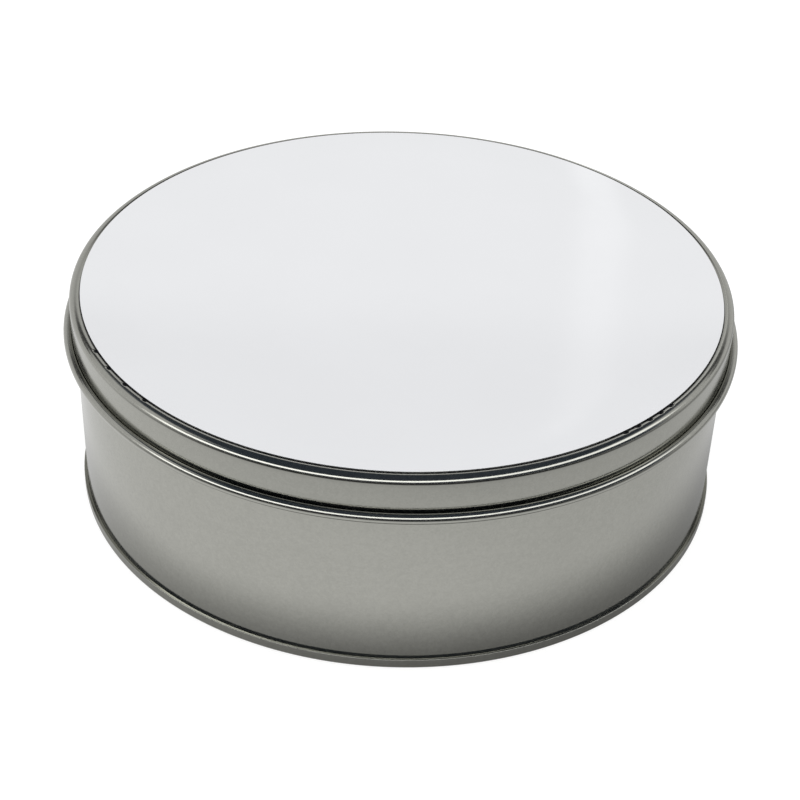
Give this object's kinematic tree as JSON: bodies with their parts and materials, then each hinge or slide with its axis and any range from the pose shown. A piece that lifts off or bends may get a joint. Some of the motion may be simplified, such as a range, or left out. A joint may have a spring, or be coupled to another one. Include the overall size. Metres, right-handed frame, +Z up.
{
  "type": "slip-lid tin",
  "caption": "Shallow round metal tin for a candle, with a slip-on lid that has a rolled rim and a glossy white plate set into its top.",
  "frame": {"origin": "on the tin's axis, in the plane that the base seam stands on", "axes": "+Z up along the tin's axis, the way the lid lifts; +Y towards the back, where the body's side seam is; +X to the right"},
  "size_m": [0.1906, 0.1906, 0.062],
  "materials": {
    "body_tinplate": "satin tinplate, very fine grain, warm grey",
    "base_tinplate": "satin tinplate, drawn round the seam",
    "lid_tinplate": "satin tinplate, brighter on the bead and the curl",
    "coated_plate": "glossy white coating on thin aluminium",
    "adhesive_film": "translucent double-sided film",
    "lining_compound": "matt off-white sealing compound"
  },
  "bodies": {
    "tin": {"body_wall": "body_tinplate", "base_end": "base_tinplate", "seam_compound": "lining_compound"},
    "lid": {"lid_shell": "lid_tinplate"},
    "insert": {"insert_plate": "coated_plate", "insert_adhesive": "adhesive_film"}
  },
  "joints": [
    {"name": "lid_lift", "type": "slide", "parent": "tin", "child": "lid", "axis": [0, 0, 1], "range_m": [0, 0.06]},
    {"name": "insert_lift", "type": "slide", "parent": "lid", "child": "insert", "axis": [0, 0, 1], "range_m": [0, 0.03]}
  ]
}
